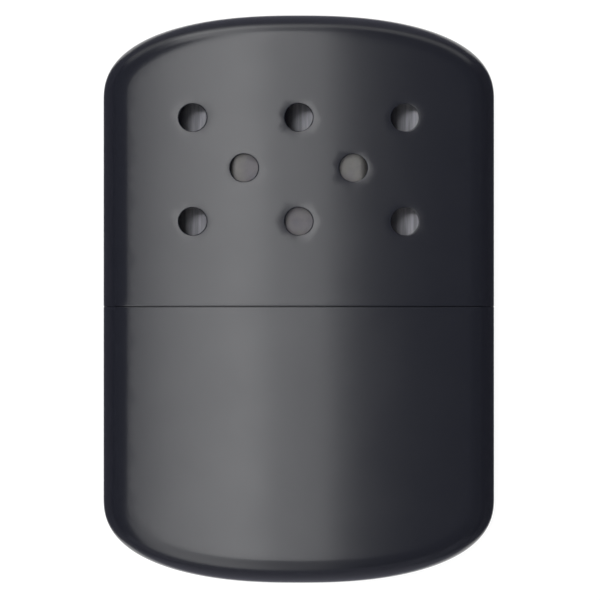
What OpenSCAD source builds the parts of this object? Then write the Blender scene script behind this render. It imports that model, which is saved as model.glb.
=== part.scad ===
// Catalytic hand warmer, lying on its back: +X is to the right, +Y to the top of the lid and
// +Z out of the front. The origin is the middle of the outline, on the surface that it lies on.
// Each piece is drawn upright, with z = 0 at the seam and the front towards -y, and then laid down.

/* [Case] */
// Width of the case across its sides
case_w = 68.2; // [64:0.2:74]
// Height of the case with its lid on
case_h = 99; // [96:0.5:108]
// Thickness of the case from back to front
case_t = 13; // [12.6:0.1:15]
// Height of the seam above the bottom of the tank
seam_h = 48.2; // [44:0.2:50]
// Height of the arch that ends the lid and the tank
arch_h = 14.8; // [13.4:0.2:16]
// Fullness of the arch, where 2 is an ellipse
arch_power = 2.4; // [2.3:0.1:2.6]
// How far the front and back fall away from the middle to the sides
crown = 2.3; // [1.6:0.1:2.5]
// Width of the flat strip down the middle of the front and of the back
flat_w = 8; // [6:0.5:12]
// Depth over which the edge rounds off
edge_r = 4.6; // [4:0.1:4.8]
// Wall of the drawn lid and tank
wall = 0.5; // [0.4:0.05:0.6]
// Gap between the rim of the lid and the rim of the tank
seam_gap = 0.1; // [0.1:0.05:0.6]

/* [Vents] */
// Radius of a vent in the front of the lid
vent_r = 2.4; // [1.8:0.05:2.8]
// Height of the upper row above the seam
vent_high = 32.6; // [31:0.1:35]
// Height of the middle row above the seam
vent_mid = 23.9; // [22:0.1:26]
// Height of the lower row above the seam
vent_low = 14.7; // [13:0.1:17]
// Distance of the outer vents from the middle
vent_outer_x = 18.3; // [16:0.1:21]
// Distance of the two vents in the middle row from the middle
vent_inner_x = 9.4; // [7:0.05:12]

/* [Neck] */
// Height of the neck above the seam
neck_h = 11; // [9:0.5:12]
// Depth of the neck's skirt inside the tank
neck_depth = 7; // [4:0.5:10]
// Wall of the neck
neck_wall = 0.5; // [0.4:0.05:0.6]
// Radius of the neck's shoulder
neck_round = 1.2; // [0.8:0.1:1.3]
// Clearance between the lid and the neck that it slides over
lid_fit = 0.15; // [0.1:0.05:0.25]
// Clearance that solder fills between the neck, the tank and the mouth
solder_fit = 0.03; // [0.02:0.01:0.06]
// Radius of the grip bead pressed out of the neck's front and of its back
bead_r = 1.6; // [1:0.1:2]
// Clearance between a grip bead and the lid
bead_fit = 0.05; // [0.03:0.01:0.08]

/* [Filler mouth] */
// Width of the mouth's tube
mouth_w = 28; // [26:0.5:30]
// Thickness of the mouth's tube from back to front
mouth_t = 7; // [6.4:0.1:7.2]
// Wall of the mouth's tube and of its flange
mouth_wall = 0.4; // [0.3:0.05:0.5]
// Height of the mouth above the neck
mouth_rise = 6.5; // [6:0.25:7]
// Width of the flange that is soldered under the neck's top
flange_w = 0.8; // [0.5:0.1:0.9]

/* [Filling] */
// Space left around the soft fillings
soft_gap = 0.3; // [0.2:0.05:0.35]
// Thickness of the middle batt of wadding
core_t = 4; // [3:0.25:5]
// Height of the felt above the neck's top
felt_rise = 1; // [0.5:0.25:1.5]
// Depth of the felt below the mouth's flange
felt_drop = 1.6; // [1:0.2:3]

/* [Burner] */
// Clearance between the mouth and the skirt around it
skirt_fit = 0.12; // [0.08:0.02:0.16]
// Thickness of the sheet of the skirt and of the cage
sheet_t = 0.4; // [0.3:0.05:0.5]
// Gap between the skirt's lower rim and the neck's top
seat_gap = 0.1; // [0.05:0.05:0.3]
// Height of the skirt
skirt_h = 8.4; // [8.2:0.2:9]
// Width of a slit that frees a spring tongue of the skirt
slit_w = 0.6; // [0.4:0.1:1]
// Height of a slit
slit_h = 4.6; // [3:0.2:6]
// Width of a spring tongue
tongue_w = 8; // [5:0.5:12]
// How far the cage laps over the skirt
cage_lap = 1.6; // [1:0.2:2]
// Height of the cage above the skirt
cage_h = 10.8; // [10.4:0.2:14]
// Clearance that the spot welds close between the burner's sheets
weld_fit = 0.02; // [0.02:0.01:0.05]
// Thickness of the vapour plate
plate_t = 0.5; // [0.4:0.1:0.8]
// Diameter of the holes in the vapour plate
plate_hole_d = 1.4; // [1:0.1:1.6]
// Holes along each of the vapour plate's two rows
plate_holes = 9; // [5:1:10]
// Width of a window in the cage
window_w = 3.7; // [3:0.1:4.1]
// Height of a window in the cage
window_h = 7.8; // [6.6:0.2:8.2]
// Windows on each side of the cage
window_count = 3; // [2:1:4]
// Width of the bars between the windows
bar_w = 1.4; // [1:0.1:1.5]
// Diameter of the holes in the cage's roof
roof_hole_d = 2.4; // [1.5:0.1:3]
// Holes in the cage's roof
roof_holes = 5; // [3:1:6]
// Thickness of the gauze behind the windows
gauze_t = 0.3; // [0.2:0.05:0.4]
// Distance from one gap of the gauze to the next
gauze_pitch = 1.6; // [1.4:0.1:2.4]
// Width of a wire of the gauze
gauze_wire = 0.6; // [0.4:0.05:0.7]

/* [Hidden] */

$fn = 48;
// Steps over an arch and round an edge; the arch's are odd, so that its middle strip is flat
fine = [33, 7];
coarse = [15, 3];
// Steps round the neck's shoulder
shoulder_steps = 4;
// How far a cutting tool reaches past what it cuts
past = 1;

lid_h = case_h - seam_h;
// The neck: how far its outside and its inside lie from the case's own surface
neck_inset = wall + lid_fit;
neck_inside = neck_inset + neck_wall;
wadding_inset = neck_inside + soft_gap;
// The mouth and what fills it, as heights above the seam
mouth_top = neck_h + mouth_rise;
flange_low = neck_h - neck_wall - mouth_wall;
felt_low = flange_low - felt_drop;
wadding_top = felt_low - soft_gap;
felt_in = mouth_wall + soft_gap;
// The burner, as heights above the seam, and as margins around the mouth's tube
skirt_low = neck_h + seat_gap;
skirt_top = skirt_low + skirt_h;
cage_low = skirt_top - cage_lap;
cage_top = skirt_top + cage_h;
skirt_in = skirt_fit;
skirt_out = skirt_in + sheet_t;
cage_in = skirt_out + weld_fit;
cage_out = cage_in + sheet_t;
mat_out = cage_in - gauze_t - weld_fit - soft_gap;
// The chamber inside the cage, above the vapour plate
chamber_h = cage_h - sheet_t;
chamber_mid = skirt_top + chamber_h / 2;
straight_w = mouth_w - mouth_t;
gauze_size = [straight_w - 2 * weld_fit, chamber_h - 2 * soft_gap];
window_pitch = window_w + bar_w;

black_coating = [0.16, 0.16, 0.18];
nickel = [0.78, 0.77, 0.74];
steel = [0.62, 0.62, 0.64];
cotton = [0.93, 0.92, 0.87];
felt = [0.85, 0.83, 0.76];
glass_fibre = [0.72, 0.72, 0.7];

// ---- The case's shape ----

// Half the thickness of the case at x, before the edge rounds off
function face_depth(x) =
    let (slope_w = (case_w - flat_w) / 2)
    case_t / 2 - crown * pow(max(0, abs(x) - flat_w / 2) / slope_w, 2);

// A station of the outline is a point, in x and z, and the direction inwards from it
function side_station(side, level) = [[side * case_w / 2, level], [-side, 0]];

function arch_station(angle, height) =
    let (across = pow(abs(cos(angle)), 2 / arch_power),
         up = pow(sin(angle), 2 / arch_power),
         side = sign(cos(angle)),
         slope = [side * pow(across, arch_power - 1) / (case_w / 2),
                  pow(up, arch_power - 1) / arch_h])
    [[side * across * case_w / 2, height - arch_h + up * arch_h], -slope / norm(slope)];

// The rounded edge at a station, from the back to the front, moved inwards by an inset
function edge_ring(station, inset, steps) =
    [for (turn = [-90:90 / steps:90])
        let (depth = inset + (edge_r - inset) * (1 - cos(turn)),
             spot = station[0] + station[1] * depth)
        [spot[0], -(face_depth(spot[0]) - inset) * sin(turn), spot[1]]];

function reversed(list) = [for (i = [len(list) - 1:-1:0]) list[i]];

// Where the flat strips of the front and back meet, from the right to the left
function strip_edges(steps) =
    [for (i = [1:steps - 1])
        let (station = arch_station(180 * i / steps, 0))
        station[0][0] + station[1][0] * edge_r];

// The case's section at a level, moved inwards by an inset: a closed loop that runs
// to the front along the right edge, to the left, to the back and to the right again
function section(inset, level, grid) =
    let (front = [for (x = strip_edges(grid[0])) [x, inset - face_depth(x), level]])
    concat(
        edge_ring(side_station(1, level), inset, grid[1]),
        front,
        reversed(edge_ring(side_station(-1, level), inset, grid[1])),
        [for (point = reversed(front)) [point[0], -point[1], point[2]]]);

function section_count(grid) = 2 * (2 * grid[1] + 1) + 2 * (grid[0] - 1);

// The points of an end: the section at its rim, then the rounded edge at each arch station
function end_points(height, rim, inset, grid) = concat(
    section(inset, rim, grid),
    [for (i = [0:grid[0]])
        each edge_ring(arch_station(180 * i / grid[0], height), inset, grid[1])]);

function quad(a, b, c, d) = [[a, b, c], [a, c, d]];

// The faces of an end, apart from those at its rim
function end_faces(grid) =
    let (arch = grid[0],
         ring = 2 * grid[1] + 1,
         count = section_count(grid),
         left = ring + arch - 1,
         // Point j of the edge at arch station i, and the rim's points below the edges and strips
         edge = function (i, j) count + i * ring + j,
         below = function (i, j) i == 0 ? j : left + ring - 1 - j,
         ends = function (i) i == 0 || i == arch,
         front = function (i) ends(i) ? below(i, ring - 1) : ring + i - 1,
         back = function (i) ends(i) ? below(i, 0) : count - i)
    [for (j = [0:ring - 2]) each concat(
        quad(below(0, j), below(0, j + 1), edge(0, j + 1), edge(0, j)),
        quad(edge(arch, j), edge(arch, j + 1), below(arch, j + 1), below(arch, j))),
     for (i = [0:arch - 1]) each concat(
        quad(front(i), front(i + 1), edge(i + 1, ring - 1), edge(i, ring - 1)),
        quad(edge(i, 0), edge(i + 1, 0), back(i + 1), back(i))),
     for (i = [0:arch - 1], j = [0:ring - 2])
        each quad(edge(i, j), edge(i, j + 1), edge(i + 1, j + 1), edge(i + 1, j))];

// The same faces turned over, for a surface whose points come after the first base points
function turned(faces, base) = [for (face = faces) [for (k = [2, 1, 0]) face[k] + base]];

// A flat band between an outer loop that starts at index a and an inner one at b
function band(a, b, count) =
    [for (k = [0:count - 1]) let (next = (k + 1) % count) each quad(a + k, b + k, b + next, a + next)];

// A drawn end: a shell that is open at its rim
module end_shell(height) {
    rim = seam_gap / 2;
    outside = end_points(height, rim, 0, fine);
    inside = end_points(height, rim, wall, fine);
    faces = end_faces(fine);
    polyhedron(
        points = concat(outside, inside),
        faces = concat(faces, turned(faces, len(outside)), band(0, len(outside), section_count(fine))));
}

// A solid of the same shape, flat at its rim
module end_solid(height, rim, inset) {
    polyhedron(
        points = end_points(height, rim, inset, coarse),
        faces = concat(end_faces(coarse), [[for (k = [section_count(coarse) - 1:-1:0]) k]]));
}

// The wall that joins the loops of a list of levels, each with its inset and height
function level_points(levels) = [for (level = levels) each section(level[0], level[1], fine)];

function level_faces(levels, count) =
    [for (low = [0:len(levels) - 2], k = [0:count - 1])
        let (next = (k + 1) % count, here = low * count, above = here + count)
        each quad(here + k, here + next, above + next, above + k)];

// The levels of a shoulder that rounds in to the top
function shoulder(inset, top, radius) =
    [for (turn = [0:90 / shoulder_steps:90])
        [inset + radius * (1 - cos(turn)), top - radius * (1 - sin(turn))]];

// A round-ended block: the mouth's outline grown by a margin, between two heights
module pill(margin, low, high) {
    radius = mouth_t / 2 + margin;
    translate([-straight_w / 2, -radius, low]) cube([straight_w, 2 * radius, high - low]);
    for (side = [-1, 1]) translate([side * straight_w / 2, 0, low]) cylinder(r = radius, h = high - low);
}

module pill_tube(outer, inner, low, high) {
    difference() {
        pill(outer, low, high);
        pill(inner, low - past, high + past);
    }
}

// Puts an upright piece in its place on the surface
module lay() {
    translate([0, seam_h - case_h / 2, case_t / 2]) rotate([-90, 0, 0]) children();
}

// ---- Case ----

module tank_shell() {
    color(black_coating) lay() mirror([0, 0, 1]) end_shell(seam_h);
}

module vent(x, z) {
    translate([x, 0, z]) rotate([90, 0, 0]) cylinder(r = vent_r, h = case_t);
}

module lid_shell() {
    color(black_coating) lay() difference() {
        end_shell(lid_h);
        for (side = [-1, 0, 1], z = [vent_low, vent_high]) vent(side * vent_outer_x, z);
        for (side = [-1, 1]) vent(side * vent_inner_x, vent_mid);
    }
}

// ---- Neck and mouth ----

// The neck's skirt fits the tank and its spigot the lid
module neck_wall_and_top() {
    outside = concat(
        [[wall + solder_fit, -neck_depth], [wall + solder_fit, -seam_gap], [neck_inset, 0]],
        shoulder(neck_inset, neck_h, neck_round));
    inside = concat(
        [[neck_inside, -neck_depth]],
        shoulder(neck_inside, neck_h - neck_wall, neck_round - neck_wall));
    count = section_count(fine);
    outside_points = level_points(outside);
    base = len(outside_points);
    all_points = concat(outside_points, level_points(inside));
    polyhedron(
        points = all_points,
        faces = concat(
            level_faces(outside, count),
            turned(level_faces(inside, count), base),
            band(0, base, count),
            [[for (k = [base - count:base - 1]) k]],
            [[for (k = [len(all_points) - 1:-1:len(all_points) - count]) k]]));
}

module neck_cup() {
    bead_reach = case_t / 2 - wall - bead_fit;
    color(nickel) lay() {
        difference() {
            neck_wall_and_top();
            pill(solder_fit, neck_h - neck_wall - past, neck_h + past);
        }
        for (side = [-1, 1])
            translate([0, side * bead_reach, neck_h / 2]) rotate([side * 90, 0, 0])
                cylinder(r = bead_r, h = bead_reach - (case_t / 2 - neck_inset) + neck_wall / 2);
    }
}

module mouth_tube() {
    color(nickel) lay() {
        pill_tube(0, -mouth_wall, flange_low, mouth_top);
        pill_tube(flange_w, -mouth_wall, flange_low, flange_low + mouth_wall);
    }
}

// ---- Filling ----

module wadding() {
    mirror([0, 0, 1]) end_solid(seam_h, -wadding_top, wadding_inset);
}

// The part of the filling between two depths, from the front backwards
module batt(from, to) {
    color(cotton) lay() intersection() {
        wadding();
        translate([-case_w / 2, from, -seam_h]) cube([case_w, to - from, case_h]);
    }
}

module cotton_front() { batt(-case_t / 2, -core_t / 2 - soft_gap); }

module cotton_core() { batt(-core_t / 2, core_t / 2); }

module cotton_rear() { batt(core_t / 2 + soft_gap, case_t / 2); }

module wick_felt() {
    color(felt) lay() pill(-felt_in, felt_low, neck_h + felt_rise);
}

// ---- Burner ----

module burner_skirt() {
    color(steel) lay() difference() {
        pill_tube(skirt_out, skirt_in, skirt_low, skirt_top);
        for (side = [-1, 1])
            translate([side * (tongue_w + slit_w) / 2 - slit_w / 2, -case_t / 2, skirt_low - past])
                cube([slit_w, case_t, slit_h + past]);
    }
}

module vapour_plate() {
    hole_pitch = straight_w / plate_holes;
    row_y = mouth_t / 4;
    color(steel) lay() difference() {
        pill(skirt_in - weld_fit, skirt_top - plate_t, skirt_top);
        for (i = [0:plate_holes - 1], side = [-1, 1])
            translate([(i - (plate_holes - 1) / 2) * hole_pitch, side * row_y, skirt_top - plate_t - past])
                cylinder(d = plate_hole_d, h = plate_t + 2 * past);
    }
}

module catalyst_mat() {
    color(glass_fibre) lay() pill(mat_out, skirt_top + soft_gap, skirt_top + chamber_h - soft_gap);
}

// A panel of crossed wires behind the windows of one side: -1 is the front, 1 the rear
module gauze(side) {
    columns = floor((gauze_size[0] - gauze_wire) / gauze_pitch);
    rows = floor((gauze_size[1] - gauze_wire) / gauze_pitch);
    gap = gauze_pitch - gauze_wire;
    from_middle = mouth_t / 2 + cage_in - weld_fit - gauze_t / 2;
    color(steel) lay() translate([0, side * from_middle, chamber_mid]) difference() {
        cube([gauze_size[0], gauze_t, gauze_size[1]], center = true);
        for (i = [0:columns - 1], k = [0:rows - 1])
            translate([(i - (columns - 1) / 2) * gauze_pitch, 0, (k - (rows - 1) / 2) * gauze_pitch])
                cube([gap, gauze_t + 2 * past, gap], center = true);
    }
}

module gauze_front() { gauze(-1); }

module gauze_rear() { gauze(1); }

// A round-ended window through the cage from front to back
module window(x) {
    straight_h = window_h - window_w;
    translate([x, 0, chamber_mid]) {
        cube([window_w, case_t, straight_h], center = true);
        for (end = [-1, 1]) translate([0, 0, end * straight_h / 2]) rotate([90, 0, 0])
            cylinder(d = window_w, h = case_t, center = true);
    }
}

// One pressed half of the cage; the two meet in the middle plane
module cage(side) {
    roof_pitch = (straight_w + roof_hole_d) / roof_holes;
    color(steel) lay() intersection() {
        difference() {
            pill(cage_out, cage_low, cage_top);
            pill(cage_in, cage_low - past, cage_top - sheet_t);
            for (i = [0:window_count - 1]) window((i - (window_count - 1) / 2) * window_pitch);
            for (i = [0:roof_holes - 1])
                translate([(i - (roof_holes - 1) / 2) * roof_pitch, 0, cage_top - sheet_t - past])
                    cylinder(d = roof_hole_d, h = sheet_t + 2 * past);
        }
        translate([0, side * case_t / 2, cage_low + cage_h / 2]) cube([case_w, case_t, 2 * cage_h], center = true);
    }
}

module cage_front() { cage(-1); }

module cage_rear() { cage(1); }

tank_shell();
neck_cup();
mouth_tube();
wick_felt();
cotton_front();
cotton_core();
cotton_rear();
lid_shell();
burner_skirt();
vapour_plate();
catalyst_mat();
gauze_front();
gauze_rear();
cage_front();
cage_rear();
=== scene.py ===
import math
import random

import bmesh
import bpy
import numpy as np
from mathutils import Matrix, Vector, noise
from mathutils.geometry import delaunay_2d_cdt
from mathutils.kdtree import KDTree


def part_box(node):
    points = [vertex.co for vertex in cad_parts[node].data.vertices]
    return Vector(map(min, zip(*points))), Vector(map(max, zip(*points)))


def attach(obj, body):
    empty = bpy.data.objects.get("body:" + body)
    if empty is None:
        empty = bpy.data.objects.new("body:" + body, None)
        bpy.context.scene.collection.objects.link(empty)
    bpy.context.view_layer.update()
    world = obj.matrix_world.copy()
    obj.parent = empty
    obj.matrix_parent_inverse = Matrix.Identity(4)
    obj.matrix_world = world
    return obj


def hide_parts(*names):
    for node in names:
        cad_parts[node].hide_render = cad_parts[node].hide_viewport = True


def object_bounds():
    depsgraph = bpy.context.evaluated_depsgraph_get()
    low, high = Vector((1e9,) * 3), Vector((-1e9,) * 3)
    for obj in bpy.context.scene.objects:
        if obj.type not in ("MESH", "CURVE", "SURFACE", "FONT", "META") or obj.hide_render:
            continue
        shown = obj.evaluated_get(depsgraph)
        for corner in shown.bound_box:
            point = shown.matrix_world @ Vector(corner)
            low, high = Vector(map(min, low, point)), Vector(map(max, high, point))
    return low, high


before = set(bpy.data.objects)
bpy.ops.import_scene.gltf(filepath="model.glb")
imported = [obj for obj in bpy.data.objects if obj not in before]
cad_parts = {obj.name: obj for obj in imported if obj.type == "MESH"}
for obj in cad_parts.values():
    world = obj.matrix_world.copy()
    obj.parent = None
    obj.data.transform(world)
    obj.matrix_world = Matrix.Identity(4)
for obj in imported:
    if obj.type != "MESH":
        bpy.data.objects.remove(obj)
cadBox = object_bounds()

# A pocket hand warmer lying on its back, seen from straight above.
# Sizes are in millimetres until makePiece turns them into metres. A point is (x, depth, level):
# depth is towards the vented front from the middle plane, level is up from the seam.

# weld and thin are in metres; clear is a share of a fill's step
near = {
    "weld": 2e-6,
    "thin": 1e-7,
    "fill": 1e-5,
    "pair": 0.002,
    "edge": 0.01,
    "clear": 0.55,
}


def startMesh():
    return {"points": [], "faces": [], "finish": []}


def addFaces(mesh, points, faces, finish=0):
    first = len(mesh["points"])
    mesh["points"] += points
    mesh["faces"] += [[first + i for i in face] for face in faces]
    mesh["finish"] += [finish] * len(faces)


def addRows(mesh, rows, finish=0, closed=False, ringed=False):
    # quads between neighbouring rows; closed joins a row's ends, ringed joins the last row to the first
    count = len(rows[0])
    steps = count if closed else count - 1
    spans = len(rows) if ringed else len(rows) - 1
    faces = []
    for r in range(spans):
        here = r * count
        there = (r + 1) % len(rows) * count
        for i in range(steps):
            after = (i + 1) % count
            faces.append([here + i, here + after, there + after, there + i])
    addFaces(mesh, [p for row in rows for p in row], faces, finish)


def insideLoop(xs, ys, loop):
    inside = np.zeros(len(xs), bool)
    for (ax, ay), (bx, by) in zip(loop, loop[1:] + loop[:1]):
        if ay != by:
            crossing = (bx - ax) * (ys - ay) / (by - ay) + ax
            inside ^= ((ay > ys) != (by > ys)) & (xs < crossing)
    return inside


def fillRegion(outline, holes, step):
    # triangles of a flat region with holes, on its own loops and on a staggered grid inside it
    loops = [outline] + holes
    rim = np.array([p for loop in loops for p in loop], float)
    low, high = rim.min(0), rim.max(0)
    gridX, gridY = np.meshgrid(np.arange(low[0] + step / 2, high[0], step),
                               np.arange(low[1] + step / 2, high[1], step))
    gridX[1::2] += step / 2
    xs, ys = gridX.ravel(), gridY.ravel()
    keep = insideLoop(xs, ys, outline)
    for hole in holes:
        keep &= ~insideLoop(xs, ys, hole)
    xs, ys = xs[keep], ys[keep]
    if len(xs):
        nearest = np.hypot(xs[:, None] - rim[:, 0], ys[:, None] - rim[:, 1]).min(1)
        clear = nearest > step * near["clear"]
        xs, ys = xs[clear], ys[clear]
    points = [Vector(p) for p in rim] + [Vector(p) for p in zip(xs, ys)]
    edges = []
    first = 0
    for loop in loops:
        edges += [(first + i, first + (i + 1) % len(loop)) for i in range(len(loop))]
        first += len(loop)
    found = delaunay_2d_cdt(points, edges, [], 0, near["fill"])
    flat = [(p[0], p[1]) for p in found[0]]
    centres = np.array([[sum(flat[i][k] for i in face) / 3 for k in (0, 1)] for face in found[2]])
    keep = insideLoop(centres[:, 0], centres[:, 1], outline)
    for hole in holes:
        keep &= ~insideLoop(centres[:, 0], centres[:, 1], hole)
    return flat, [list(face) for face, kept in zip(found[2], keep) if kept]


def addRegion(mesh, region, place, finish=0):
    flat, faces = region
    addFaces(mesh, [place(a, b) for a, b in flat], faces, finish)


def makePiece(name, mesh, finishes, body, nodes, sharp=38, reach=0):
    # welds the parts of the mesh, lays it down in metres and hands it to the frame; reach lets it
    # stand a little out of its nodes' box, but never out of the whole object's
    low, high = zip(*[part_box(n) for n in nodes])
    boxLow = [max(cadBox[0][k], min(c[k] for c in low) - reach / 1000) for k in range(3)]
    boxHigh = [min(cadBox[1][k], max(c[k] for c in high) + reach / 1000) for k in range(3)]
    places = []
    for x, depth, level in mesh["points"]:
        spot = (x / 1000, (level + seamY) / 1000, (depth + midZ) / 1000)
        places.append([min(max(c, a), b) for c, a, b in zip(spot, boxLow, boxHigh)])
    data = bpy.data.meshes.new(name)
    data.from_pydata(places, [], mesh["faces"])
    data.polygons.foreach_set("material_index", mesh["finish"])
    edit = bmesh.new()
    edit.from_mesh(data)
    bmesh.ops.remove_doubles(edit, verts=edit.verts, dist=near["weld"])
    bmesh.ops.dissolve_degenerate(edit, edges=edit.edges, dist=near["thin"])
    bmesh.ops.recalc_face_normals(edit, faces=edit.faces)
    edit.to_mesh(data)
    edit.free()
    for finish in finishes:
        data.materials.append(finish)
    data.shade_smooth()
    data.set_sharp_from_angle(angle=math.radians(sharp))
    piece = bpy.data.objects.new(name, data)
    bpy.context.scene.collection.objects.link(piece)
    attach(piece, body)
    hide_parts(*nodes)
    print("made", name, len(data.polygons), "faces")
    return piece


def stepLoop(corners, step):
    # a closed loop through the corners, with its points no further apart than step
    loop = []
    for (ax, ay), (bx, by) in zip(corners, corners[1:] + corners[:1]):
        count = max(1, math.ceil(math.hypot(bx - ax, by - ay) / step))
        loop += [(ax + (bx - ax) * i / count, ay + (by - ay) * i / count) for i in range(count)]
    return loop


def addSheet(mesh, pairs, faces, finish=0):
    # thin metal from pairs of an outer and an inner point: both skins, and a wall at each free edge
    tree = KDTree(len(pairs))
    for i, (outer, inner) in enumerate(pairs):
        tree.insert(outer, i)
    tree.balance()
    home = [min(found[1] for found in tree.find_range(outer, near["pair"])) for outer, inner in pairs]
    count = len(pairs)
    skin = [[home[i] for i in face] for face in faces]
    skin = [face for face in skin if len(set(face)) == len(face)]
    seen = {}
    for face in skin:
        for a, b in zip(face, face[1:] + face[:1]):
            seen.setdefault(frozenset((a, b)), []).append((a, b))
    walls = []
    for uses in seen.values():
        if len(uses) == 1:
            a, b = uses[0]
            walls.append([b, a, a + count, b + count])
    back = [[i + count for i in reversed(face)] for face in skin]
    addFaces(mesh, [p[0] for p in pairs] + [p[1] for p in pairs], skin + back + walls, finish)


def addStrand(mesh, spots, radius, sides, finish=0):
    # a closed tube along a wire or fibre that runs roughly across the depth
    spots = [Vector(s) for s in spots]
    rows = []
    for i, spot in enumerate(spots):
        ahead = spots[min(i + 1, len(spots) - 1)] - spots[max(i - 1, 0)]
        across = ahead.cross((0, 1, 0)).normalized()
        out = across.cross(ahead).normalized()
        turns = [2 * math.pi * k / sides for k in range(sides)]
        rows.append([tuple(spot + radius * (math.cos(t) * across + math.sin(t) * out)) for t in turns])
    addRows(mesh, rows, finish, closed=True)
    for row in (rows[0], rows[-1]):
        addFaces(mesh, row, [list(range(sides))], finish)


hollows = {
    "even": 0.5,
    "broad": 0.4,
    "fine": 0.2,
    "finer": 2.7,
}


def ruffle(piece, deep, size, shift):
    # presses soft hollows into a filling, and never takes it out of its space; deep and size in mm
    normals = [vertex.normal.copy() for vertex in piece.data.vertices]
    for vertex, normal in zip(piece.data.vertices, normals):
        spot = vertex.co * 1000 / size + Vector((shift, 0, 0))
        hollow = hollows["even"] + hollows["broad"] * noise.noise(spot)
        hollow += hollows["fine"] * noise.noise(spot * hollows["finer"])
        vertex.co -= normal * (deep / 1000 * min(1, max(0, hollow)))


def fromHex(code):
    # sRGB hex to the linear colour that the shaders take
    parts = [int(code[i:i + 2], 16) / 255 for i in (1, 3, 5)]
    return [c / 12.92 if c <= 0.04045 else ((c + 0.055) / 1.055) ** 2.4 for c in parts] + [1]


def perMm(size):
    # a pattern's scale for features of this size in millimetres
    return 1000 / size


def addNode(tree, kind, settings=None, links=None):
    node = tree.nodes.new(kind)
    for key, value in (settings or {}).items():
        if isinstance(key, str) and hasattr(node, key):
            setattr(node, key, value)
        else:
            node.inputs[key].default_value = value
    for key, source in (links or {}).items():
        tree.links.new(source, node.inputs[key])
    return node


def startFinish(name, settings):
    finish = bpy.data.materials.new(name)
    finish.use_nodes = True
    tree = finish.node_tree
    shader = tree.nodes["Principled BSDF"]
    for key, value in settings.items():
        shader.inputs[key].default_value = value
    where = addNode(tree, "ShaderNodeTexCoord").outputs["Object"]
    return finish, tree, shader, where


def addRamp(tree, source, stops):
    ramp = addNode(tree, "ShaderNodeValToRGB", links={"Fac": source})
    while len(ramp.color_ramp.elements) < len(stops):
        ramp.color_ramp.elements.new(0.5)
    for element, (at, colour) in zip(ramp.color_ramp.elements, stops):
        element.position = at
        element.color = fromHex(colour) if isinstance(colour, str) else [colour] * 3 + [1]
    return ramp.outputs["Color"]


# Baked black coating on drawn steel, sprayed and cured: satin sheen over a very fine orange peel
coating, tree, shader, where = startFinish("bakedBlackCoating", {"IOR": 1.5})
speck = addNode(tree, "ShaderNodeTexNoise", {"Scale": perMm(0.35), "Detail": 3, "Roughness": 0.6},
                {"Vector": where})
cloud = addNode(tree, "ShaderNodeTexNoise", {"Scale": perMm(9), "Detail": 4}, {"Vector": where})
tree.links.new(addRamp(tree, speck.outputs["Fac"], [(0.3, "#111218"), (0.7, "#18191f")]),
               shader.inputs["Base Color"])
tree.links.new(addRamp(tree, cloud.outputs["Fac"], [(0.3, 0.225), (0.7, 0.25)]),
               shader.inputs["Roughness"])
# the peel is about 0.2 mm across, drawn at 0.35 mm so that it shows
peel = addNode(tree, "ShaderNodeBump", {"Strength": 0.22, "Distance": 0.00002},
               {"Height": speck.outputs["Fac"]})
tree.links.new(peel.outputs["Normal"], shader.inputs["Normal"])

# Phosphated steel inside the lid and tank: the matt grey coat that comes before the black one, over
# the fine lines of the draw
phosphate, tree, shader, where = startFinish("phosphatedSteel", {"IOR": 1.5})
along = addNode(tree, "ShaderNodeMapping", {"Scale": (1, 0.06, 1)}, {"Vector": where})
lines = addNode(tree, "ShaderNodeTexNoise", {"Scale": perMm(0.5), "Detail": 4},
                {"Vector": along.outputs["Vector"]})
tree.links.new(addRamp(tree, lines.outputs["Fac"], [(0.35, "#707076"), (0.65, "#929298")]),
               shader.inputs["Base Color"])
tree.links.new(addRamp(tree, lines.outputs["Fac"], [(0.3, 0.62), (0.7, 0.72)]),
               shader.inputs["Roughness"])
ridges = addNode(tree, "ShaderNodeBump", {"Strength": 0.2, "Distance": 0.00002},
                 {"Height": lines.outputs["Fac"]})
tree.links.new(ridges.outputs["Normal"], shader.inputs["Normal"])

# Nickel plate on the drawn neck and mouth: warm bright metal, rubbed lengthways by the lid
nickel, tree, shader, where = startFinish("nickelPlate", {"Metallic": 1})
along = addNode(tree, "ShaderNodeMapping", {"Scale": (1, 0.04, 1)}, {"Vector": where})
rubs = addNode(tree, "ShaderNodeTexNoise", {"Scale": perMm(0.4), "Detail": 5, "Roughness": 0.65},
               {"Vector": along.outputs["Vector"]})
dull = addNode(tree, "ShaderNodeTexNoise", {"Scale": perMm(6), "Detail": 3}, {"Vector": where})
tree.links.new(addRamp(tree, dull.outputs["Fac"], [(0.3, "#c4beb2"), (0.7, "#d8d3c9")]),
               shader.inputs["Base Color"])
tree.links.new(addRamp(tree, rubs.outputs["Fac"], [(0.35, 0.16), (0.65, 0.32)]),
               shader.inputs["Roughness"])
scored = addNode(tree, "ShaderNodeBump", {"Strength": 0.25, "Distance": 0.00002},
                 {"Height": rubs.outputs["Fac"]})
tree.links.new(scored.outputs["Normal"], shader.inputs["Normal"])

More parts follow.
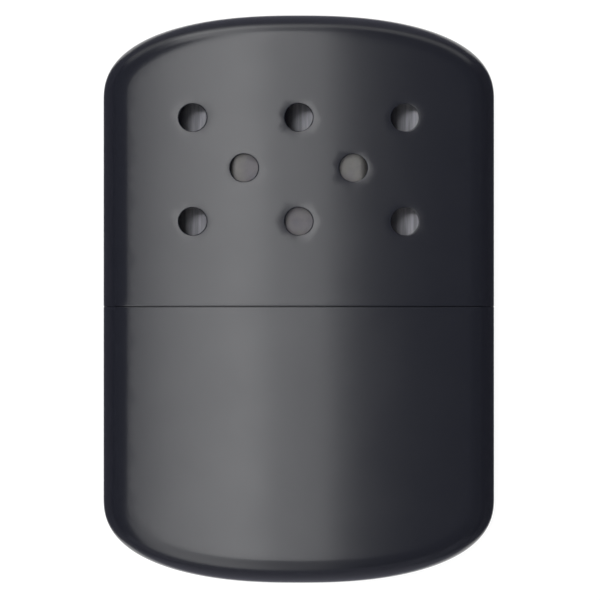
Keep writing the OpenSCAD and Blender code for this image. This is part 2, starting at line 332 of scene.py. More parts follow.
# Stamped stainless sheet of the burner, dulled by heat: dark grey, with faint straw and blue patches
burnerSteel, tree, shader, where = startFinish("heatTintedStainless", {"Metallic": 1})
heat = addNode(tree, "ShaderNodeTexNoise", {"Scale": perMm(11), "Detail": 5, "Roughness": 0.55},
               {"Vector": where})
grain = addNode(tree, "ShaderNodeTexNoise", {"Scale": perMm(0.3), "Detail": 2}, {"Vector": where})
tree.links.new(addRamp(tree, heat.outputs["Fac"],
                       [(0.3, "#606064"), (0.48, "#62615f"), (0.6, "#5a585b"), (0.72, "#52565e")]),
               shader.inputs["Base Color"])
tree.links.new(addRamp(tree, grain.outputs["Fac"], [(0.3, 0.42), (0.7, 0.52)]),
               shader.inputs["Roughness"])
stamped = addNode(tree, "ShaderNodeBump", {"Strength": 0.15, "Distance": 0.00002},
                  {"Height": grain.outputs["Fac"]})
tree.links.new(stamped.outputs["Normal"], shader.inputs["Normal"])

# Woven stainless wire: dull grey with soot between the crossings
wireSteel, tree, shader, where = startFinish("wovenStainlessWire", {"Metallic": 1})
soot = addNode(tree, "ShaderNodeTexNoise", {"Scale": perMm(2.5), "Detail": 4}, {"Vector": where})
tree.links.new(addRamp(tree, soot.outputs["Fac"], [(0.35, "#6f6d6a"), (0.65, "#a7a6a4")]),
               shader.inputs["Base Color"])
tree.links.new(addRamp(tree, soot.outputs["Fac"], [(0.35, 0.5), (0.65, 0.32)]),
               shader.inputs["Roughness"])

# Glass-fibre mat that carries the catalyst: matt pale grey with darker metal dust in it
glassFibre, tree, shader, where = startFinish("catalystGlassFibre", {"IOR": 1.5, "Sheen Weight": 0.3})
dust = addNode(tree, "ShaderNodeTexNoise", {"Scale": perMm(1.4), "Detail": 5, "Roughness": 0.7},
               {"Vector": where})
tree.links.new(addRamp(tree, dust.outputs["Fac"], [(0.3, "#77756f"), (0.55, "#a9a7a1"), (0.8, "#c9c7c2")]),
               shader.inputs["Base Color"])
tree.links.new(addRamp(tree, dust.outputs["Fac"], [(0.3, 0.95), (0.7, 0.8)]),
               shader.inputs["Roughness"])
fluff = addNode(tree, "ShaderNodeBump", {"Strength": 0.7, "Distance": 0.0002},
                {"Height": dust.outputs["Fac"]})
tree.links.new(fluff.outputs["Normal"], shader.inputs["Normal"])

# Pressed wool felt: dense, off-white and fully matt
woolFelt, tree, shader, where = startFinish("pressedWoolFelt", {"IOR": 1.5, "Sheen Weight": 0.4})
wool = addNode(tree, "ShaderNodeTexNoise", {"Scale": perMm(0.6), "Detail": 6, "Roughness": 0.7},
               {"Vector": where})
tree.links.new(addRamp(tree, wool.outputs["Fac"], [(0.3, "#c3bca8"), (0.7, "#ded9ca")]),
               shader.inputs["Base Color"])
tree.links.new(addRamp(tree, wool.outputs["Fac"], [(0.3, 0.98), (0.7, 0.88)]),
               shader.inputs["Roughness"])
matted = addNode(tree, "ShaderNodeBump", {"Strength": 0.6, "Distance": 0.00015},
                 {"Height": wool.outputs["Fac"]})
tree.links.new(matted.outputs["Normal"], shader.inputs["Normal"])

# Loose cotton wadding: soft white with cream shadows between the tufts
cotton, tree, shader, where = startFinish("cottonWadding", {"IOR": 1.5, "Sheen Weight": 0.5})
tufts = addNode(tree, "ShaderNodeTexNoise", {"Scale": perMm(2.2), "Detail": 6, "Roughness": 0.65},
                {"Vector": where})
tree.links.new(addRamp(tree, tufts.outputs["Fac"], [(0.3, "#d9d4c4"), (0.7, "#f1eee4")]),
               shader.inputs["Base Color"])
tree.links.new(addRamp(tree, tufts.outputs["Fac"], [(0.3, 0.98), (0.7, 0.9)]),
               shader.inputs["Roughness"])
loose = addNode(tree, "ShaderNodeBump", {"Strength": 0.8, "Distance": 0.0004},
                {"Height": tufts.outputs["Fac"]})
tree.links.new(loose.outputs["Normal"], shader.inputs["Normal"])
print("finishes ready")

case = {
    "width": 68.2,
    "height": 99.0,
    "thick": 13.0,
    "tankHigh": 48.2,
    "archHigh": 14.8,
    "archPower": 2.4,
    "crown": 2.3,
    "flatWide": 8.0,
    "edgeDeep": 4.6,
    "wall": 0.5,
    "seamGap": 0.1,
    "rimRound": 0.13,
    "rimBow": 0.045,
    "bowFrom": 31.0,
    "bowOver": 1.5,
    "archSteps": 121,
    "edgeSteps": 16,
    "sideStep": 2.0,
    "faceStep": 1.25,
}
vents = {
    "radius": 2.4,
    "outerRound": 0.2,
    "innerRound": 0.06,
    "steps": 72,
    "places": [(-18.3, 14.7), (0, 14.7), (18.3, 14.7), (-9.4, 23.9), (9.4, 23.9),
               (-18.3, 32.6), (0, 32.6), (18.3, 32.6)],
}
seamY = case["tankHigh"] - case["height"] / 2
midZ = case["thick"] / 2
lidHigh = case["height"] - case["tankHigh"]


def faceDepth(x):
    # half the thickness at x, before the edge rounds off
    slope = max(0, abs(x) - case["flatWide"] / 2) / ((case["width"] - case["flatWide"]) / 2)
    return case["thick"] / 2 - case["crown"] * slope ** 2


def outlineStations(high, rim):
    # from the rim on the right over the arch to the rim on the left: x, level and the way inwards
    half = case["width"] / 2
    power = case["archPower"]
    spring = high - case["archHigh"]
    rows = max(2, round((spring - rim) / case["sideStep"]))
    levels = [rim + (spring - rim) * i / rows for i in range(rows)]
    found = [(half, level, -1, 0) for level in levels]
    for i in range(case["archSteps"] + 1):
        angle = math.pi * i / case["archSteps"]
        across = abs(math.cos(angle)) ** (2 / power)
        up = abs(math.sin(angle)) ** (2 / power)
        side = math.copysign(1, math.cos(angle))
        slope = Vector((side * across ** (power - 1) / half, up ** (power - 1) / case["archHigh"]))
        slope.normalize()
        found.append((side * across * half, spring + up * case["archHigh"], -slope.x, -slope.y))
    return found + [(-half, level, 1, 0) for level in reversed(levels)]


def edgeRing(station, inset, low=-90, high=90):
    # the rounded edge at a station, from the back to the front
    x, level, inX, inLevel = station
    ring = []
    for j in range(2 * case["edgeSteps"] + 1):
        turn = math.radians(low + (high - low) * j / (2 * case["edgeSteps"]))
        reach = inset + (case["edgeDeep"] - inset) * (1 - math.cos(turn))
        px = x + inX * reach
        ring.append((px, (faceDepth(px) - inset) * math.sin(turn), level + inLevel * reach))
    return ring


def rimXs():
    # places along the straight rim of the front or back, from the left to the right
    half = case["width"] / 2 - case["edgeDeep"]
    count = round(2 * half / case["faceStep"])
    return [half * (2 * i / count - 1) for i in range(1, count)]


def sectionLoop(inset, level, bump=None):
    # the case's section at a level: right edge, front, left edge, back
    half = case["width"] / 2
    right = edgeRing((half, level, -1, 0), inset)
    left = edgeRing((-half, level, 1, 0), inset)
    lift = bump or (lambda x, level: 0)
    front = [(x, faceDepth(x) - inset + lift(x, level), level) for x in reversed(rimXs())]
    back = [(x, inset - faceDepth(x) - lift(x, level), level) for x in rimXs()]
    return right + front + left[::-1] + back


def ventLoop(place, radius):
    turns = [2 * math.pi * i / vents["steps"] for i in range(vents["steps"])]
    return [(place[0] + radius * math.cos(t), place[1] + radius * math.sin(t)) for t in turns]


def addSkin(mesh, high, rim, inset, finish, ventRadius=None):
    # one surface of a drawn end: its rounded edge, its back and its front
    rings = [edgeRing(s, inset) for s in outlineStations(high, rim)]
    addRows(mesh, rings, finish)
    outline = [(r[-1][0], r[-1][2]) for r in rings] + [(x, rim) for x in rimXs()]
    holes = [ventLoop(p, ventRadius) for p in vents["places"]] if ventRadius else []
    addRegion(mesh, fillRegion(outline, holes, case["faceStep"]),
              lambda x, level: (x, faceDepth(x) - inset, level), finish)
    addRegion(mesh, fillRegion(outline, [], case["faceStep"]),
              lambda x, level: (x, inset - faceDepth(x), level), finish)


def addVent(mesh, place):
    # the wall of a vent, with its outer edge rolled in by the punch
    wall, soft, hard = case["wall"], vents["outerRound"], vents["innerRound"]
    radius = vents["radius"]
    turns = [math.radians(a) for a in (0, 15, 30, 45, 60, 75, 90)]
    path = [(radius + soft * (1 - math.sin(t)), soft * (1 - math.cos(t))) for t in turns]
    path += [(radius + hard * (1 - math.cos(t)), wall - hard * (1 - math.sin(t))) for t in turns[::2]]
    rows = []
    for ringRadius, drop in path:
        rows.append([(x, faceDepth(x) - drop, level) for x, level in ventLoop(place, ringRadius)])
    addRows(mesh, rows, 0, closed=True)


def drawnEnd(high, vented):
    mesh = startMesh()
    rim = case["seamGap"] / 2
    soft = case["rimRound"]
    wall = case["wall"]
    addSkin(mesh, high, rim + soft, 0, 0, vents["radius"] + vents["outerRound"] if vented else None)
    addSkin(mesh, high, rim + soft, wall, 1, vents["radius"] + vents["innerRound"] if vented else None)
    turns = [math.radians(a) for a in (0, 30, 60, 90)]
    path = [(soft * (1 - math.cos(t)), rim + soft * (1 - math.sin(t))) for t in turns]
    path += [(wall - inset, level) for inset, level in reversed(path)]
    addRows(mesh, [sectionLoop(inset, level) for inset, level in path], 0, closed=True)
    if vented:
        for place in vents["places"]:
            addVent(mesh, place)
    # the two rims bow together at the sides, so that no light passes through the seam there
    for i, (x, depth, level) in enumerate(mesh["points"]):
        if level <= rim + soft:
            share = min(1, max(0, (abs(x) - case["bowFrom"]) / case["bowOver"]))
            mesh["points"][i] = (x, depth, level - case["rimBow"] * share ** 2 * (3 - 2 * share))
    return mesh


makePiece("drawnLid", drawnEnd(lidHigh, True), [coating, phosphate], "lid", ["lid_shell"],
          reach=case["rimBow"])
tankMesh = drawnEnd(case["tankHigh"], False)
tankMesh["points"] = [(x, depth, -level) for x, depth, level in tankMesh["points"]]
makePiece("drawnTank", tankMesh, [coating, phosphate], "tank", ["tank_shell"],
          reach=case["rimBow"])

neck = {
    # the neck takes the black coating up to this height above the seam: painted shade that darkens the
    # seam line
    "seamShadeHigh": 0.6,
    "high": 11.0,
    "down": 7.0,
    "wall": 0.5,
    "shoulder": 1.2,
    "lidFit": 0.15,
    "solderFit": 0.03,
    "beadRadius": 1.6,
    "beadHigh": 0.1,
    "rowStep": 0.6,
    "footRows": 6,
    "insideRows": 18,
    "ledgeStep": 1.2,
}
mouth = {
    "wide": 28.0,
    "thick": 7.0,
    "wall": 0.4,
    "rise": 6.5,
    "flange": 0.8,
    "lipRound": 0.15,
    "grooveDeep": 0.1,
    "grooveHigh": 1.4,
    "grooveUp": 3.4,
    "grooveSteps": 10,
    "footRound": 0.1,
    "footLip": [(0, 0.4), (0.12, 0.03), (0.3, 0)],
}
straight = mouth["wide"] - mouth["thick"]
mouthTop = neck["high"] + mouth["rise"]
flangeLow = neck["high"] - neck["wall"] - mouth["wall"]


def pillLoop(margin, endSteps=24, sideSteps=21):
    # the mouth's round-ended outline grown by a margin, from the right end over the front
    radius = mouth["thick"] / 2 + margin
    loop = []
    for side in (1, -1):
        for i in range(endSteps + 1):
            turn = math.pi * i / endSteps - math.pi / 2
            loop.append((side * (straight / 2 + radius * math.cos(turn)), side * radius * math.sin(turn)))
        loop += [(side * straight * (0.5 - i / sideSteps), side * radius) for i in range(1, sideSteps)]
    return loop


def neckBump(x, level):
    # the round grip bead pressed out of the front and of the back
    away = math.hypot(x, level - neck["high"] / 2) / neck["beadRadius"]
    return neck["beadHigh"] * max(0, 1 - away ** 2) ** 2


def neckMesh():
    mesh = startMesh()
    outer = case["wall"] + neck["lidFit"]
    inner = outer + neck["wall"]
    top = neck["high"]
    seated = case["wall"] + neck["solderFit"]
    turns = [math.radians(a) for a in range(0, 91, 10)]
    round1 = neck["shoulder"]
    round2 = round1 - neck["wall"]
    straightTop = top - round1
    count = round(straightTop / neck["rowStep"])
    # the black coating is put on the foot of the neck, up to a little above the tank's rim: painted shade,
    # so that the neck seen through the seam shows as a dark line
    footStep = (neck["down"] - case["seamGap"]) / neck["footRows"]
    path = [(seated, -neck["down"] + i * footStep) for i in range(neck["footRows"] + 1)]
    path += [(outer, 0), (outer, neck["seamShadeHigh"])]
    addRows(mesh, [sectionLoop(inset, level, neckBump) for inset, level in path], 1, closed=True)
    path = [(outer, neck["seamShadeHigh"])]
    path += [(outer, straightTop * i / count) for i in range(2, count)]
    path += [(outer + round1 * (1 - math.cos(t)), top - round1 * (1 - math.sin(t))) for t in turns]
    addRows(mesh, [sectionLoop(inset, level, neckBump) for inset, level in path], closed=True)
    low = top - neck["wall"]
    insideStep = (neck["down"] + low - round2) / neck["insideRows"]
    path = [(inner, -neck["down"] + i * insideStep) for i in range(neck["insideRows"])]
    path += [(inner + round2 * (1 - math.cos(t)), low - round2 * (1 - math.sin(t))) for t in turns]
    addRows(mesh, [sectionLoop(inset, level) for inset, level in path], closed=True)
    addRows(mesh, [sectionLoop(inset, -neck["down"]) for inset in (seated, inner)], closed=True)
    hole = pillLoop(neck["solderFit"])
    ledge = [(x, depth) for x, depth, level in sectionLoop(outer + round1, top)]
    region = fillRegion(ledge, [hole], neck["ledgeStep"])
    addRegion(mesh, region, lambda x, depth: (x, depth, top))
    addRegion(mesh, region, lambda x, depth: (x, depth, low))
    addRows(mesh, [[(x, depth, level) for x, depth in hole] for level in (top, low)], closed=True)
    return mesh


def mouthMesh():
    mesh = startMesh()
    wall, lip = mouth["wall"], mouth["lipRound"]
    top = mouthTop
    shelf = flangeLow + wall
    turns = [math.radians(a) for a in (0, 30, 60, 90)]
    grooveAt = neck["high"] + mouth["grooveUp"]
    groove = []
    for i in range(mouth["grooveSteps"] + 1):
        share = i / mouth["grooveSteps"]
        deep = mouth["grooveDeep"] * math.sin(math.pi * share) ** 2
        groove.append((deep, grooveAt + mouth["grooveHigh"] * (share - 0.5)))
    path = [(mouth["flange"], flangeLow), (mouth["flange"], shelf)]
    path += [(mouth["footRound"], shelf), (0, shelf + mouth["footRound"])]
    path += [(-deep, level) for deep, level in groove]
    path += [(-lip * (1 - math.cos(t)), top - lip * (1 - math.sin(t))) for t in turns]
    path += [(-wall + lip * (1 - math.sin(t)), top - lip * (1 - math.cos(t))) for t in turns]
    path += [(-wall - deep, level) for deep, level in reversed(groove)]
    path += [(out - wall, flangeLow + up) for out, up in mouth["footLip"]]
    rows = [[(x, depth, level) for x, depth in pillLoop(margin)] for margin, level in path]
    addRows(mesh, rows, closed=True, ringed=True)
    return mesh


makePiece("drawnNeck", neckMesh(), [nickel, coating], "tank", ["neck_cup"])
makePiece("fillerMouth", mouthMesh(), [nickel], "tank", ["mouth_tube"])
print("case, neck and mouth done")

skirt = {
    "fit": 0.12,
    "sheet": 0.4,
    "seat": 0.1,
    "high": 8.4,
    "slitWide": 0.6,
    "slitHigh": 4.6,
    "tongueWide": 8.0,
    "tongueBow": 0.08,
    "bowHigh": 0.6,
    "step": 0.5,
}
skirtLow = neck["high"] + skirt["seat"]
skirtTop = skirtLow + skirt["high"]
skirtOut = skirt["fit"] + skirt["sheet"]
endRadius = mouth["thick"] / 2 + skirtOut + skirt["sheet"]
halfRound = straight / 2 + math.pi / 2 * endRadius


def pillSpot(margin, along, level, side):
    # a point of the mouth's grown outline, this far along from the middle of its front or back
    radius = mouth["thick"] / 2 + margin
    turn = max(0, abs(along) - straight / 2) / endRadius
    reach = min(abs(along), straight / 2) + radius * math.sin(turn)
    return (math.copysign(reach, along), side * radius * math.cos(turn), level)


def skirtMesh():
    # a collar whose spring tongues bow in where the mouth has its groove
    mesh = startMesh()
    inEdge = skirt["tongueWide"] / 2
    outEdge = inEdge + skirt["slitWide"]
    slitTop = skirtLow + skirt["slitHigh"]
    corners = [(-halfRound, skirtTop), (-halfRound, skirtLow)]
    for side in (-1, 1):
        edges = (outEdge, inEdge) if side < 0 else (inEdge, outEdge)
        corners += [(side * edges[0], skirtLow), (side * edges[0], slitTop)]
        corners += [(side * edges[1], slitTop), (side * edges[1], skirtLow)]
    corners += [(halfRound, skirtLow), (halfRound, skirtTop)]
    flat, flatFaces = fillRegion(stepLoop(corners, skirt["step"]), [], skirt["step"])
    bowAt = neck["high"] + mouth["grooveUp"]
    pairs = []
    faces = []
    for side in (1, -1):
        faces += [[len(pairs) + i for i in face] for face in flatFaces]
        for along, level in flat:
            bow = 0
            if abs(along) <= inEdge + near["edge"]:
                bow = skirt["tongueBow"] * math.exp(-((level - bowAt) / skirt["bowHigh"]) ** 2)
            pairs.append((pillSpot(skirtOut - bow, along, level, side),
                          pillSpot(skirt["fit"] - bow, along, level, side)))
    addSheet(mesh, pairs, faces)
    return mesh


plate = {
    "margin": 0.1,
    "thick": 0.5,
    "hole": 1.4,
    "holes": 9,
    "holeSteps": 20,
    "step": 0.8,
}


def plateMesh():
    # the plate that lets the vapour through, with two rows of punched holes
    mesh = startMesh()
    pitch = straight / plate["holes"]
    turns = [2 * math.pi * i / plate["holeSteps"] for i in range(plate["holeSteps"])]
    holes = []
    for i in range(plate["holes"]):
        for side in (-1, 1):
            x = (i - (plate["holes"] - 1) / 2) * pitch
            holes.append([(x + plate["hole"] / 2 * math.cos(t),
                           side * mouth["thick"] / 4 + plate["hole"] / 2 * math.sin(t)) for t in turns])
    flat, faces = fillRegion(pillLoop(plate["margin"]), holes, plate["step"])
    addSheet(mesh, [((x, d, skirtTop), (x, d, skirtTop - plate["thick"])) for x, d in flat], faces)
    return mesh


cage = {
    "lap": 1.6,
    "high": 10.8,
    "weldFit": 0.02,
    "windowWide": 3.7,
    "windowHigh": 7.8,
    "windows": 3,
    "halfSteps": 12,
    "bar": 1.4,
    "roofHole": 2.4,
    "roofHoles": 5,
    "roofRound": 0.8,
    "seam": 0.02,
    "spots": [-9, -3, 3, 9],
    "spotRadius": 0.6,
    "spotDeep": 0.08,
    "step": 0.45,
}
cageLow = skirtTop - cage["lap"]
cageTop = skirtTop + cage["high"]
cageIn = skirtOut + cage["weldFit"]
cageOut = cageIn + skirt["sheet"]
chamberHigh = cage["high"] - skirt["sheet"]
chamberMid = skirtTop + chamberHigh / 2


def windowLoop(x):
    radius = cage["windowWide"] / 2
    lift = cage["windowHigh"] / 2 - radius
    turns = [math.pi * i / cage["halfSteps"] for i in range(cage["halfSteps"] + 1)]
    loop = [(x + radius * math.cos(t), chamberMid + lift + radius * math.sin(t)) for t in turns]
    return loop + [(x - radius * math.cos(t), chamberMid - lift - radius * math.sin(t)) for t in turns]


def spotDent(along, level):
    # the mark of the electrode where the cage is spot-welded to the skirt
    deep = 0
    for at in cage["spots"]:
        away = math.hypot(along - at, level - cageLow - cage["lap"] / 2) / cage["spotRadius"]
        deep = max(deep, cage["spotDeep"] * max(0, 1 - away ** 2))
    return deep


def cageMesh(side):
    # one pressed half: a windowed wall, a rounded corner and its half of the roof
    mesh = startMesh()
    end = halfRound - cage["seam"]
    bend = cage["roofRound"]
    wallTop = cageTop - bend
    corners = [(-end, cageLow), (end, cageLow), (end, wallTop), (-end, wallTop)]
    pitch = cage["windowWide"] + cage["bar"]
    holes = [windowLoop((i - (cage["windows"] - 1) / 2) * pitch) for i in range(cage["windows"])]
    flat, faces = fillRegion(stepLoop(corners, cage["step"]), holes, cage["step"])
    pairs = []
    for along, level in flat:
        pairs.append((pillSpot(cageOut - spotDent(along, level), along, level, side),
                      pillSpot(cageIn, along, level, side)))
    count = math.ceil(2 * end / cage["step"])
    alongs = [end - 2 * end * i / count for i in range(count + 1)]
    turns = [math.radians(a) for a in (0, 18, 36, 54, 72, 90)]
    soft = bend - skirt["sheet"]
    for row, t in enumerate(turns):
        first = len(pairs)
        for along in alongs:
            outer = pillSpot(cageOut - bend * (1 - math.cos(t)), along, wallTop + bend * math.sin(t), side)
            inner = pillSpot(cageIn - soft * (1 - math.cos(t)), along, wallTop + soft * math.sin(t), side)
            pairs.append((outer, inner))
        if row:
            before = first - len(alongs)
            faces += [[before + i, before + i + 1, first + i + 1, first + i] for i in range(count)]
    arc = [pillSpot(cageOut - bend, along, 0, side)[:2] for along in alongs]
    outline = list(arc)
    radius = cage["roofHole"] / 2
    start = math.asin(abs(arc[0][1]) / radius)
    pitch = (straight + cage["roofHole"]) / cage["roofHoles"]
    for i in range(cage["roofHoles"]):
        x = (i - (cage["roofHoles"] - 1) / 2) * pitch
        for k in range(cage["halfSteps"] + 1):
            t = start + (math.pi - 2 * start) * k / cage["halfSteps"]
            outline.append((x - radius * math.cos(t), side * radius * math.sin(t)))
    roof, roofFaces = fillRegion(outline, [], cage["step"])
    faces += [[len(pairs) + i for i in face] for face in roofFaces]
    pairs += [((x, d, cageTop), (x, d, cageTop - skirt["sheet"])) for x, d in roof]
    addSheet(mesh, pairs, faces)
    return mesh


# the room that the mat and the wire leave at the floor and the roof of the chamber
burnerRoom = 0.3
gauze = {
    "wide": straight - 2 * cage["weldFit"],
    "high": chamberHigh - 2 * burnerRoom,
    "thick": 0.3,
    "pitch": 0.8,
    "wire": 0.14,
    "perPitch": 4,
    "sides": 5,
    "room": 0.01,
}


def gauzeMesh(side):
    # plain weave: each wire goes over one crossing wire and under the next
    mesh = startMesh()
    middle = mouth["thick"] / 2 + cageIn - cage["weldFit"] - gauze["thick"] / 2
    radius = gauze["wire"] / 2
    sway = gauze["thick"] / 2 - radius - gauze["room"]
    for upright in (True, False):
        spread, length = gauze["wide"], gauze["high"]
        if not upright:
            spread, length = length, spread
        wires = math.floor((spread - gauze["wire"]) / gauze["pitch"]) + 1
        steps = round(length / gauze["pitch"] * gauze["perPitch"])
        for w in range(wires):
            across = (w - (wires - 1) / 2) * gauze["pitch"]
            phase = math.pi * (w + (0 if upright else 1))
            spots = []
            for i in range(steps + 1):
                along = (i / steps - 0.5) * (length - 2 * gauze["room"])
                wave = sway * math.cos(math.pi * along / gauze["pitch"] + phase)
                x, level = (across, along) if upright else (along, across)
                spots.append((x, side * (middle + wave), chamberMid + level))
            addStrand(mesh, spots, radius, gauze["sides"])
    return mesh


def plugMesh(margin, low, high, soft, rowStep):
    # a closed block of the mouth's outline with soft rims, as felt and fibre are cut
    mesh = startMesh()
    turns = [math.radians(a) for a in (0, 22.5, 45, 67.5, 90)]
    count = max(2, round((high - low - 2 * soft) / rowStep))
    path = [(margin - soft * (1 - math.sin(t)), low + soft * (1 - math.cos(t))) for t in turns]
    path += [(margin, low + soft + (high - low - 2 * soft) * i / count) for i in range(1, count)]
    path += [(margin - soft * (1 - math.cos(t)), high - soft * (1 - math.sin(t))) for t in turns]
    rows = [[(x, d, level) for x, d in pillLoop(m, sideSteps=36)] for m, level in path]
    addRows(mesh, rows, closed=True)
    region = fillRegion(pillLoop(margin - soft, sideSteps=36), [], rowStep)
    for level in (low, high):
        addRegion(mesh, region, lambda x, d, at=level: (x, d, at))
    return mesh


mat = {
    "margin": -0.08,
    "low": skirtTop + burnerRoom,
    "high": skirtTop + chamberHigh - burnerRoom,
    "soft": 0.7,
    "step": 0.5,
    "hollow": 0.1,
    "tuft": 1.6,
    "shift": 3,
    "fibres": 420,
    "fibreRadius": 0.03,
    "fibreLong": (1.2, 3.2),
    "fibreSteps": 5,
    "fibreSides": 3,
    "fibreCurl": 0.35,
    "fibreLift": 0.06,
    "fibreSunk": 0.1,
    "startRoom": 1,
    "fibreRoom": 0.5,
    "seed": 11,
}


def addFibres(mesh):
    # loose glass fibres that lie over the mat behind the gauze
    draw = random.Random(mat["seed"])
    low, high = mat["low"] + mat["fibreRoom"], mat["high"] - mat["fibreRoom"]
    for i in range(mat["fibres"]):
        side = draw.choice((-1, 1))
        x = draw.uniform(-straight / 2, straight / 2)
        level = draw.uniform(mat["low"] + mat["startRoom"], mat["high"] - mat["startRoom"])
        heading = draw.uniform(0, math.pi)
        curl = draw.uniform(-mat["fibreCurl"], mat["fibreCurl"])
        stride = draw.uniform(*mat["fibreLong"]) / mat["fibreSteps"]
        spots = []
        for k in range(mat["fibreSteps"] + 1):
            lift = mat["fibreLift"] * math.sin(math.pi * k / mat["fibreSteps"]) - mat["fibreSunk"]
            spots.append((x, side * (mouth["thick"] / 2 + mat["margin"] + lift), level))
            x += stride * math.cos(heading)
            level += stride * math.sin(heading)
            heading += curl
        if all(abs(x) < straight / 2 and low < level < high for x, depth, level in spots):
            addStrand(mesh, spots, mat["fibreRadius"], mat["fibreSides"])


felt = {
    "margin": -0.7,
    "low": 8.5,
    "high": 12.0,
    "soft": 0.35,
    "step": 0.5,
    "hollow": 0.08,
    "tuft": 1.2,
    "shift": 7,
}
makePiece("tongueSkirt", skirtMesh(), [burnerSteel], "burner", ["burner_skirt"])
makePiece("vapourPlate", plateMesh(), [burnerSteel], "burner", ["vapour_plate"])
for word, side in (("Front", 1), ("Rear", -1)):
    makePiece("cage" + word, cageMesh(side), [burnerSteel], "burner", ["cage_" + word.lower()])
    makePiece("gauze" + word, gauzeMesh(side), [wireSteel], "burner", ["gauze_" + word.lower()])
matMesh = plugMesh(mat["margin"], mat["low"], mat["high"], mat["soft"], mat["step"])
addFibres(matMesh)
matPiece = makePiece("fibreMat", matMesh, [glassFibre], "burner", ["catalyst_mat"],
                     sharp=180)
ruffle(matPiece, mat["hollow"], mat["tuft"], mat["shift"])
feltMesh = plugMesh(felt["margin"], felt["low"], felt["high"], felt["soft"], felt["step"])
feltPiece = makePiece("wickFelt", feltMesh, [woolFelt], "tank", ["wick_felt"], sharp=180)
ruffle(feltPiece, felt["hollow"], felt["tuft"], felt["shift"])
print("burner and felt done")

batts = {
    "inset": 1.45,
    "top": 8.2,
    "halfCore": 2.0,
    "gap": 0.3,
    "step": 1.6,
    "rounds": 8,
    "hollow": 0.3,
    "tuft": 5.0,
    "shift": 20,
}


def turnAt(station, depth):
    # how far round the edge a depth lies, in degrees, found in a few rounds
    turn = 0
    for _ in range(batts["rounds"]):
        reach = batts["inset"] + (case["edgeDeep"] - batts["inset"]) * (1 - math.cos(turn))
        room = faceDepth(station[0] + station[2] * reach) - batts["inset"]
        turn = math.asin(min(1, max(-1, depth / room)))
    return math.degrees(turn)


def battMesh(low, high):
    # the wadding between two depths, where None is the face of the case
    mesh = startMesh()
    inset, rim = batts["inset"], -batts["top"]
    below = (lambda x: inset - faceDepth(x)) if low is None else (lambda x: low)
    above = (lambda x: faceDepth(x) - inset) if high is None else (lambda x: high)
    rings = []
    for station in outlineStations(case["tankHigh"], rim):
        start = -90 if low is None else turnAt(station, low)
        stop = 90 if high is None else turnAt(station, high)
        rings.append(edgeRing(station, inset, start, stop))
    addRows(mesh, rings)
    for pick, depthAt in ((0, below), (-1, above)):
        outline = [(ring[pick][0], ring[pick][2]) for ring in rings] + [(x, rim) for x in rimXs()]
        addRegion(mesh, fillRegion(outline, [], batts["step"]),
                  lambda x, level, at=depthAt: (x, at(x), level))
    section = [(x, d) for x, d, level in rings[0]]
    section += [(x, above(x)) for x in reversed(rimXs())]
    section += [(x, d) for x, d, level in reversed(rings[-1])]
    section += [(x, below(x)) for x in rimXs()]
    addRegion(mesh, fillRegion(section, [], batts["step"]), lambda x, d: (x, d, rim))
    mesh["points"] = [(x, depth, -level) for x, depth, level in mesh["points"]]
    return mesh


skin = batts["halfCore"] + batts["gap"]
layers = {"Front": (skin, None), "Core": (-batts["halfCore"], batts["halfCore"]), "Rear": (None, -skin)}
for place, (word, (low, high)) in enumerate(layers.items()):
    batt = makePiece("batt" + word, battMesh(low, high), [cotton], "tank", ["cotton_" + word.lower()],
                     sharp=180)
    ruffle(batt, batts["hollow"], batts["tuft"], batts["shift"] * place)
print("wadding done")

shot = {
    "away": 450.0,
    "aim": (0.21, -0.16),
    "frameWide": 104.8,
    "sensor": 36.0,
    "clip": 0.01,
}
camera = bpy.data.objects.new("camera", bpy.data.cameras.new("camera"))
bpy.context.scene.collection.objects.link(camera)
camera.location = (shot["aim"][0] / 1000, shot["aim"][1] / 1000, (shot["away"] + midZ) / 1000)
camera.data.sensor_width = shot["sensor"]
camera.data.lens = shot["sensor"] * shot["away"] / shot["frameWide"]
camera.data.clip_start = shot["clip"]
bpy.context.scene.camera = camera
bpy.context.scene.view_settings.view_transform = "Standard"

# a tall softbox overhead on the left with a brighter heart, dimmer panels beyond its two ends, and a
# narrow strip that throws the vents' shadows; middle and size are in metres, tip is the lean in degrees
lamps = {
    "softbox": {"middle": (-0.133, 0.371, 0.8), "size": (0.266, 1.17), "tip": 0, "radiance": 3.8},
    "heart": {"middle": (-0.048, 0.371, 0.79), "size": (0.1, 1.17), "tip": 0, "radiance": 2.4},
    "topPanel": {"middle": (-0.29, 1.1, 0.45), "size": (0.42, 0.76), "tip": -67.7, "radiance": 2.8},
    "topEnd": {"middle": (-0.02, 1.1, 0.45), "size": (0.12, 0.76), "tip": -67.7, "radiance": 1.25},
    "bottomPanel": {"middle": (-0.157, -0.48, 0.5), "size": (0.366, 0.8), "tip": 43.8, "radiance": 0.7},
    "lowPanel": {"middle": (-0.27, -0.48, 0.49), "size": (0.46, 0.8), "tip": 43.8, "radiance": 1.3},
    "strip": {"middle": (-0.147, 0.066, 0.75), "size": (0.163, 0.02), "tip": 0, "radiance": 380},
}


def addSoftbox(name, spec):
    data = bpy.data.lights.new(name, "AREA")
    data.shape = "RECTANGLE"
    data.size, data.size_y = spec["size"]
    data.energy = spec["radiance"] * math.pi * data.size * data.size_y
    lamp = bpy.data.objects.new(name, data)
    lamp.location = spec["middle"]
    lamp.rotation_euler = (math.radians(spec["tip"]), 0, 0)
    bpy.context.scene.collection.objects.link(lamp)
    return lamp


for name, spec in lamps.items():
    lamp = addSoftbox(name, spec)
    if name == "strip":
        # it reaches through the vents onto the matt steel, and leaves no streak on the gloss
        lamp.visible_glossy = False

world = bpy.data.worlds.new("studio")
world.use_nodes = True
world.node_tree.nodes["Background"].inputs["Color"].default_value = fromHex("#5f616a")
bpy.context.scene.world = world

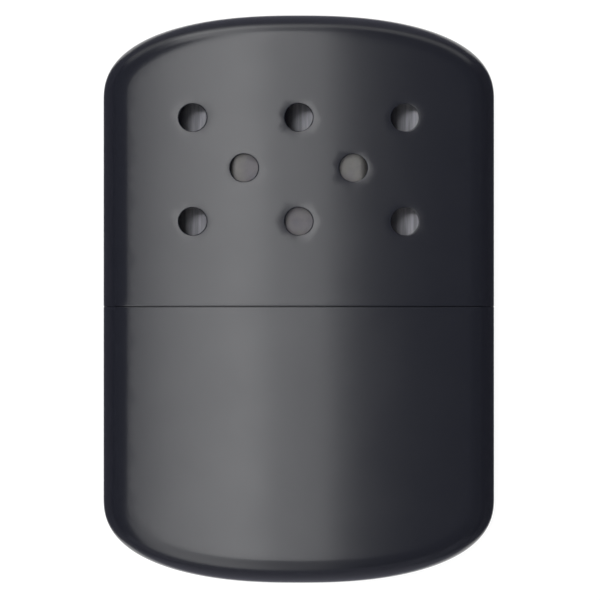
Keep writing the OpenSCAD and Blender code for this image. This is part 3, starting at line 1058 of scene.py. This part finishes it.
# grey cards on the floor round the object, turned up at the far edge, the top one hardly; only
# reflections see them; metres, with the turn in degrees
cards = {
    "far": 0.2,
    "lift": 0.0005,
    "sides": {
        "Right": {"turn": 0, "near": 0.037, "high": 0.07, "colour": "#44444e"},
        "Left": {"turn": 180, "near": 0.037, "high": 0.07, "colour": "#50505a"},
        "Bottom": {"turn": 270, "near": 0.0525, "high": 0.07, "colour": "#84848e"},
        "Top": {"turn": 90, "near": 0.0525, "high": 0.001, "colour": "#70707a"},
    },
}


def addCard(name, spec, finish):
    turn = math.radians(spec["turn"])
    far, lift = cards["far"], cards["lift"]
    profile = [(spec["near"], lift), (far, lift), (far, spec["high"])]
    data = bpy.data.meshes.new(name)
    spots = []
    for out, high in profile:
        for along in (-far, far):
            spot = Vector((out, along, high))
            spots.append((spot.x * math.cos(turn) - spot.y * math.sin(turn),
                          spot.x * math.sin(turn) + spot.y * math.cos(turn), spot.z))
    data.from_pydata(spots, [], [[0, 1, 3, 2], [2, 3, 5, 4]])
    data.materials.append(finish)
    card = bpy.data.objects.new(name, data)
    bpy.context.scene.collection.objects.link(card)
    card.visible_camera = False
    card.visible_diffuse = False
    card.visible_shadow = False


# Dyed velvet over card: matt grey with no gloss, so that the edges of the coating stay dark
for side, spec in cards["sides"].items():
    look = {"Base Color": fromHex(spec["colour"]), "Roughness": 1, "Specular IOR Level": 0}
    addCard("card" + side, spec, startFinish("velvet" + side, look)[0])

# a round sheet of white paper that turns up into a low wall far away
sweep = {"radius": 1.5, "wall": 0.4, "turn": 0.2, "middle": 0.3, "steps": 96, "turnSteps": 8}
profile = [(sweep["middle"], 0), (sweep["radius"] - sweep["turn"], 0)]
for i in range(1, sweep["turnSteps"] + 1):
    turn = math.pi / 2 * i / sweep["turnSteps"]
    profile.append((sweep["radius"] - sweep["turn"] * (1 - math.sin(turn)),
                    sweep["turn"] * (1 - math.cos(turn))))
profile.append((sweep["radius"], sweep["wall"]))
paperMesh = bpy.data.meshes.new("paperSweep")
edit = bmesh.new()
rings = []
for radius, high in profile:
    rings.append([edit.verts.new((radius * math.cos(2 * math.pi * i / sweep["steps"]),
                                  radius * math.sin(2 * math.pi * i / sweep["steps"]), high))
                  for i in range(sweep["steps"])])
edit.faces.new(rings[0])
for inner, outer in zip(rings, rings[1:]):
    for i in range(sweep["steps"]):
        after = (i + 1) % sweep["steps"]
        edit.faces.new([inner[i], outer[i], outer[after], inner[after]])
bmesh.ops.recalc_face_normals(edit, faces=edit.faces)
edit.to_mesh(paperMesh)
edit.free()
paperMesh.shade_smooth()
paper = bpy.data.objects.new("paperSweep", paperMesh)
bpy.context.scene.collection.objects.link(paper)

# White paper: what the camera and the reflections see of it is mostly its own plain white, and the
# rest is lit, so that the object's shadow stays
paperLook = {"colour": "#f4f4f4", "share": 0.86, "glow": 1.08}
paperFinish = bpy.data.materials.new("whitePaper")
paperFinish.use_nodes = True
tree = paperFinish.node_tree
tree.nodes.clear()
path = addNode(tree, "ShaderNodeLightPath")
seen = addNode(tree, "ShaderNodeMath", {"operation": "MAXIMUM"},
               {0: path.outputs["Is Camera Ray"], 1: path.outputs["Is Glossy Ray"]})
shown = addNode(tree, "ShaderNodeMath", {"operation": "MAXIMUM"},
                {0: seen.outputs[0], 1: path.outputs["Is Transmission Ray"]})
share = addNode(tree, "ShaderNodeMath", {"operation": "MULTIPLY", 1: paperLook["share"]},
                {0: shown.outputs[0]})
sheet = addNode(tree, "ShaderNodeBsdfDiffuse", {"Color": fromHex(paperLook["colour"])})
glow = addNode(tree, "ShaderNodeEmission", {"Strength": paperLook["glow"]})
mixed = addNode(tree, "ShaderNodeMixShader", None,
                {0: share.outputs[0], 1: sheet.outputs[0], 2: glow.outputs[0]})
addNode(tree, "ShaderNodeOutputMaterial", None, {"Surface": mixed.outputs[0]})
paperMesh.materials.append(paperFinish)
print("camera, light and paper done")
